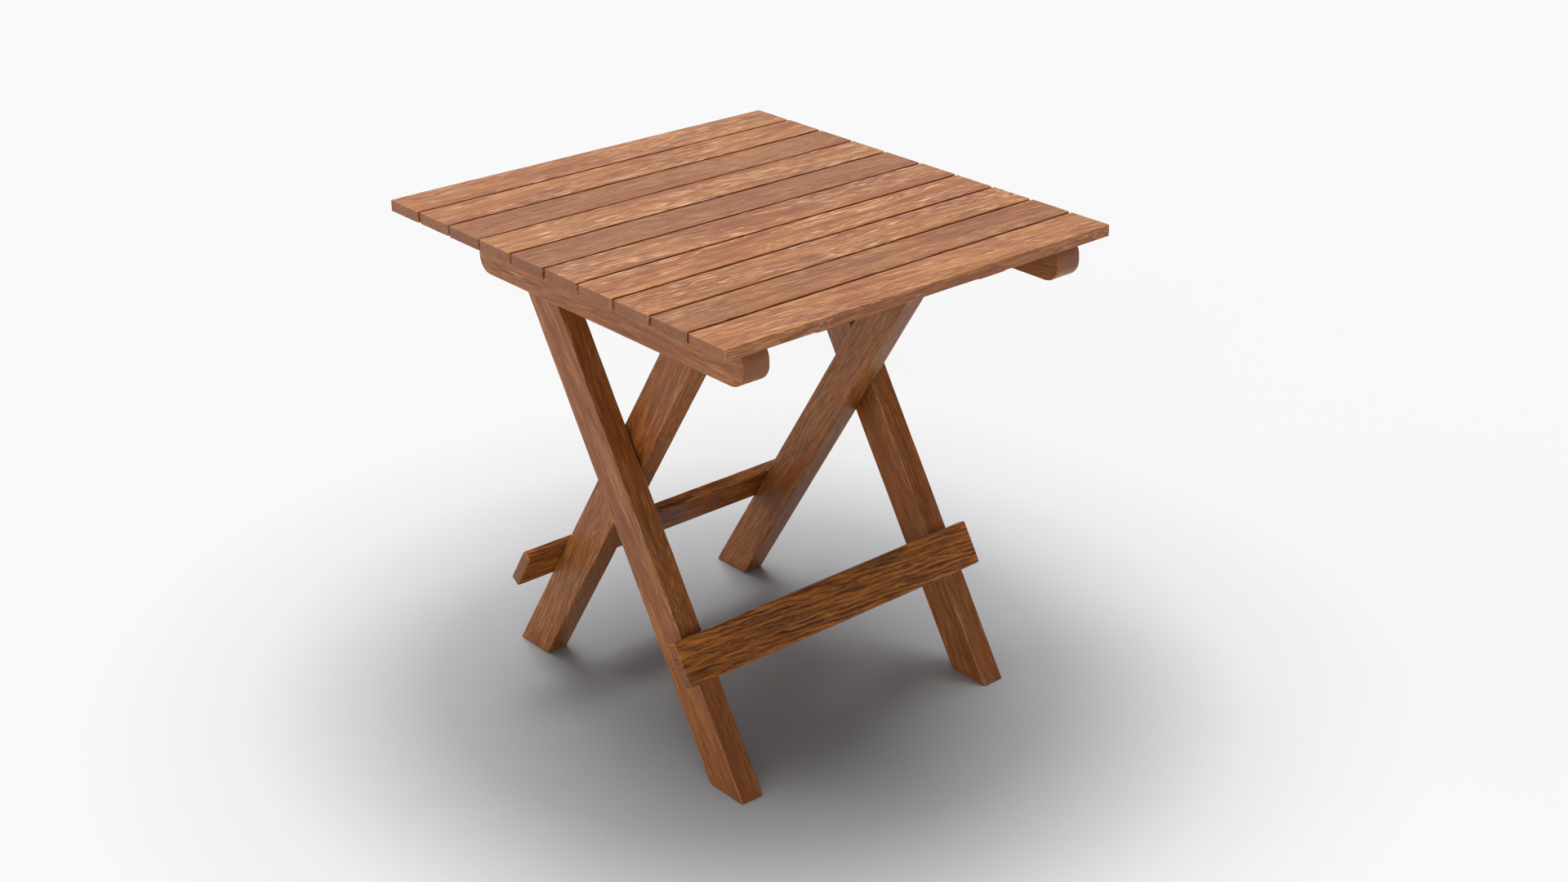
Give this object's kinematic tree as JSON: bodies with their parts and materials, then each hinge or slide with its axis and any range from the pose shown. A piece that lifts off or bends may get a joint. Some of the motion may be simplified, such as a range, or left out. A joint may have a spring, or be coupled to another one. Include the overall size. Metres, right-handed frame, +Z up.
{
  "type": "folding picnic table",
  "caption": "Low square folding table in oiled hardwood with a slatted top on two crossed leg frames that scissor shut.",
  "frame": {"origin": "on the floor under the middle of the top", "axes": "+X along the slats, +Y across the slats towards the edge where the top is hinged, +Z up"},
  "size_m": [0.475, 0.513, 0.5],
  "materials": {
    "slat_wood": "oiled reddish hardwood, satin, fine pale flecks along the grain",
    "frame_wood": "oiled reddish hardwood, satin, thick boards with eased edges",
    "stretcher_wood": "oiled hardwood with strong wavy darker grain, satin",
    "hidden_wood": "oiled hardwood, planed",
    "dowel_wood": "fluted hardwood dowel, unfinished",
    "screw_steel": "zinc plated",
    "pin_steel": "ground steel pin",
    "washer_nylon": "natural nylon"
  },
  "bodies": {
    "outer_frame": {"left_outer_leg": "frame_wood", "right_outer_leg": "frame_wood", "front_stretcher": "stretcher_wood", "front_stretcher_dowels": "dowel_wood", "left_cross_pin": "pin_steel", "right_cross_pin": "pin_steel", "cross_washers": "washer_nylon", "top_washers": "washer_nylon"},
    "inner_frame": {"left_inner_leg": "frame_wood", "right_inner_leg": "frame_wood", "back_stretcher": "stretcher_wood", "back_stretcher_dowels": "dowel_wood", "top_rail": "hidden_wood"},
    "tabletop": {"slat_01": "slat_wood", "slat_02": "slat_wood", "slat_03": "slat_wood", "slat_04": "slat_wood", "slat_05": "slat_wood", "slat_06": "slat_wood", "slat_07": "slat_wood", "slat_08": "slat_wood", "slat_09": "slat_wood", "slat_10": "slat_wood", "left_batten": "frame_wood", "right_batten": "frame_wood", "left_cleat": "hidden_wood", "right_cleat": "hidden_wood", "left_stop_block": "hidden_wood", "right_stop_block": "hidden_wood", "batten_screws": "screw_steel", "cleat_screws": "screw_steel", "stop_block_screws": "screw_steel", "left_top_pin": "pin_steel", "right_top_pin": "pin_steel"}
  },
  "joints": [
    {"name": "leg_fold", "type": "hinge", "parent": "outer_frame", "child": "inner_frame", "pos_m": [0, 0, 0.28422], "axis": [-1, 0, 0], "range_deg": [0, 63.5]},
    {"name": "top_fold", "type": "hinge", "parent": "outer_frame", "child": "tabletop", "pos_m": [0, 0.1144, 0.4673], "axis": [-1, 0, 0], "range_deg": [0, 31.75]}
  ],
  "couplings": [
    {"joint": "top_fold", "follows": "leg_fold", "ratio": 0.5}
  ]
}
